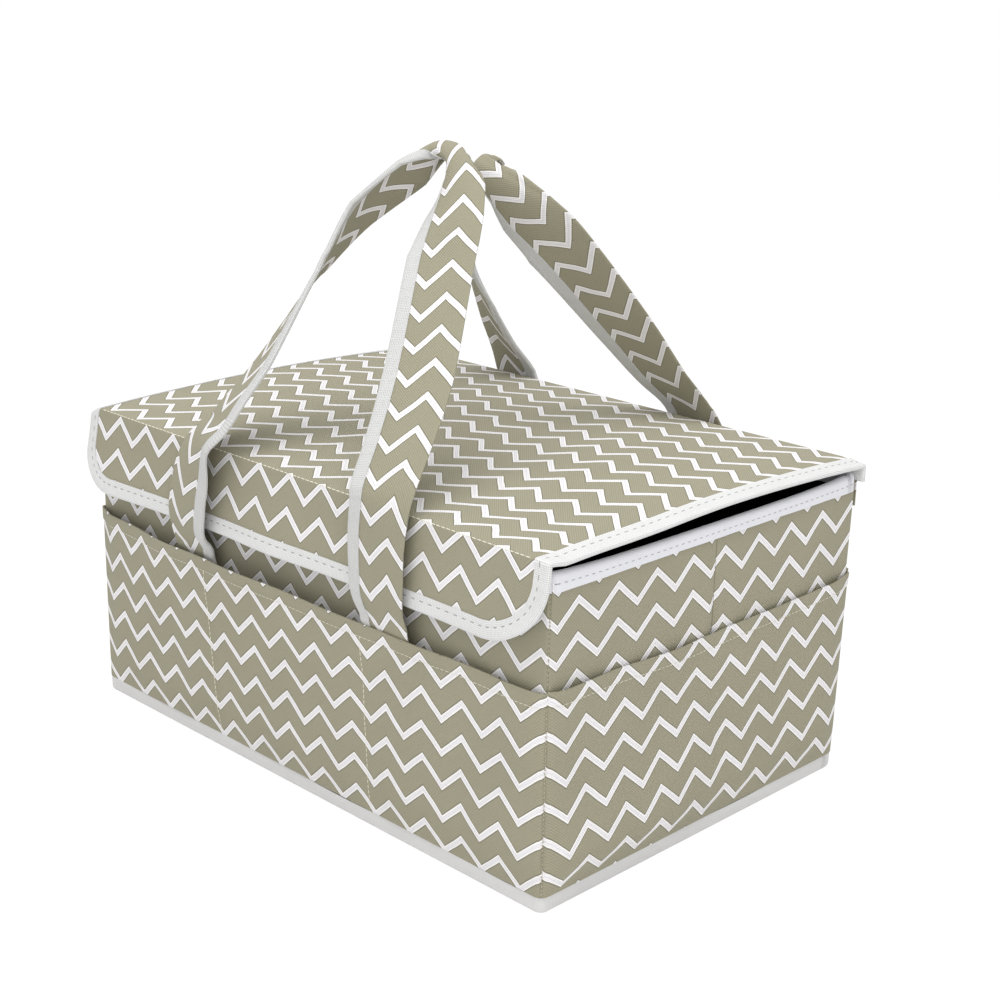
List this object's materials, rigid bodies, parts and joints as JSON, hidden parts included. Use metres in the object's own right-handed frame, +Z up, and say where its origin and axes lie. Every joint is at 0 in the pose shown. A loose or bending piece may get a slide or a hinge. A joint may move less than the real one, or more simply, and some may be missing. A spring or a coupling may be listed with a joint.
{
  "type": "diaper caddy",
  "caption": "Soft box caddy in chevron cloth with white binding, outside pockets, a hinged lid with a hanging front flap, and a pair of strap handles.",
  "frame": {"origin": "middle of the base, on the surface that the caddy stands on", "axes": "+X to the right along the long front, +Y from the front to the back, +Z up"},
  "size_m": [0.3908, 0.2833, 0.3536],
  "materials": {
    "chevron_cloth": "sage green twill with woven white chevron lines, matt",
    "binding": "white woven binding tape with a fine dotted emboss, matt",
    "lining": "dark non-woven lining, matt",
    "board": "plain stiffening board, hidden between cloth and lining"
  },
  "bodies": {
    "box": {"front_panel": "chevron_cloth", "front_board": "board", "front_lining": "lining", "front_pocket": "chevron_cloth", "right_panel": "chevron_cloth", "right_board_near": "board", "right_board_far": "board", "right_lining": "lining", "right_pocket": "chevron_cloth", "back_panel": "chevron_cloth", "back_board": "board", "back_lining": "lining", "back_pocket": "chevron_cloth", "left_panel": "chevron_cloth", "left_board_near": "board", "left_board_far": "board", "left_lining": "lining", "left_pocket": "chevron_cloth", "base_cloth": "chevron_cloth", "base_board": "board", "base_lining": "lining", "base_binding": "binding", "rim_binding": "binding", "lid_hinge": "chevron_cloth", "front_tail_left": "chevron_cloth", "front_tail_right": "chevron_cloth", "rear_tail_left": "chevron_cloth", "rear_tail_right": "chevron_cloth"},
    "lid": {"lid_lining": "lining", "lid_board": "board", "lid_cover": "chevron_cloth", "lid_binding_left": "binding", "lid_binding_right": "binding"},
    "flap": {"flap_cover": "chevron_cloth", "flap_lining": "lining", "flap_binding": "binding"},
    "front_handle": {"front_handle_strap": "chevron_cloth", "front_handle_binding": "binding"},
    "rear_handle": {"rear_handle_strap": "chevron_cloth", "rear_handle_binding": "binding"}
  },
  "joints": [
    {"name": "lid_open", "type": "hinge", "parent": "box", "child": "lid", "pos_m": [0, 0.1274, 0.182], "axis": [-1, 0, 0], "range_deg": [0, 80]},
    {"name": "flap_fold", "type": "hinge", "parent": "lid", "child": "flap", "pos_m": [0, -0.129, 0.1848], "axis": [1, 0, 0], "range_deg": [0, 20]},
    {"name": "front_handle_swing", "type": "hinge", "parent": "box", "child": "front_handle", "pos_m": [0, -0.138, 0.1253], "axis": [1, 0, 0], "range_deg": [0, 144]},
    {"name": "rear_handle_swing", "type": "hinge", "parent": "box", "child": "rear_handle", "pos_m": [0, 0.138, 0.1253], "axis": [-1, 0, 0], "range_deg": [0, 144]}
  ],
  "couplings": [
    {"joint": "flap_fold", "follows": "lid_open", "ratio": 0.25},
    {"joint": "front_handle_swing", "follows": "lid_open", "ratio": 1.8},
    {"joint": "rear_handle_swing", "follows": "lid_open", "ratio": 1.8}
  ]
}
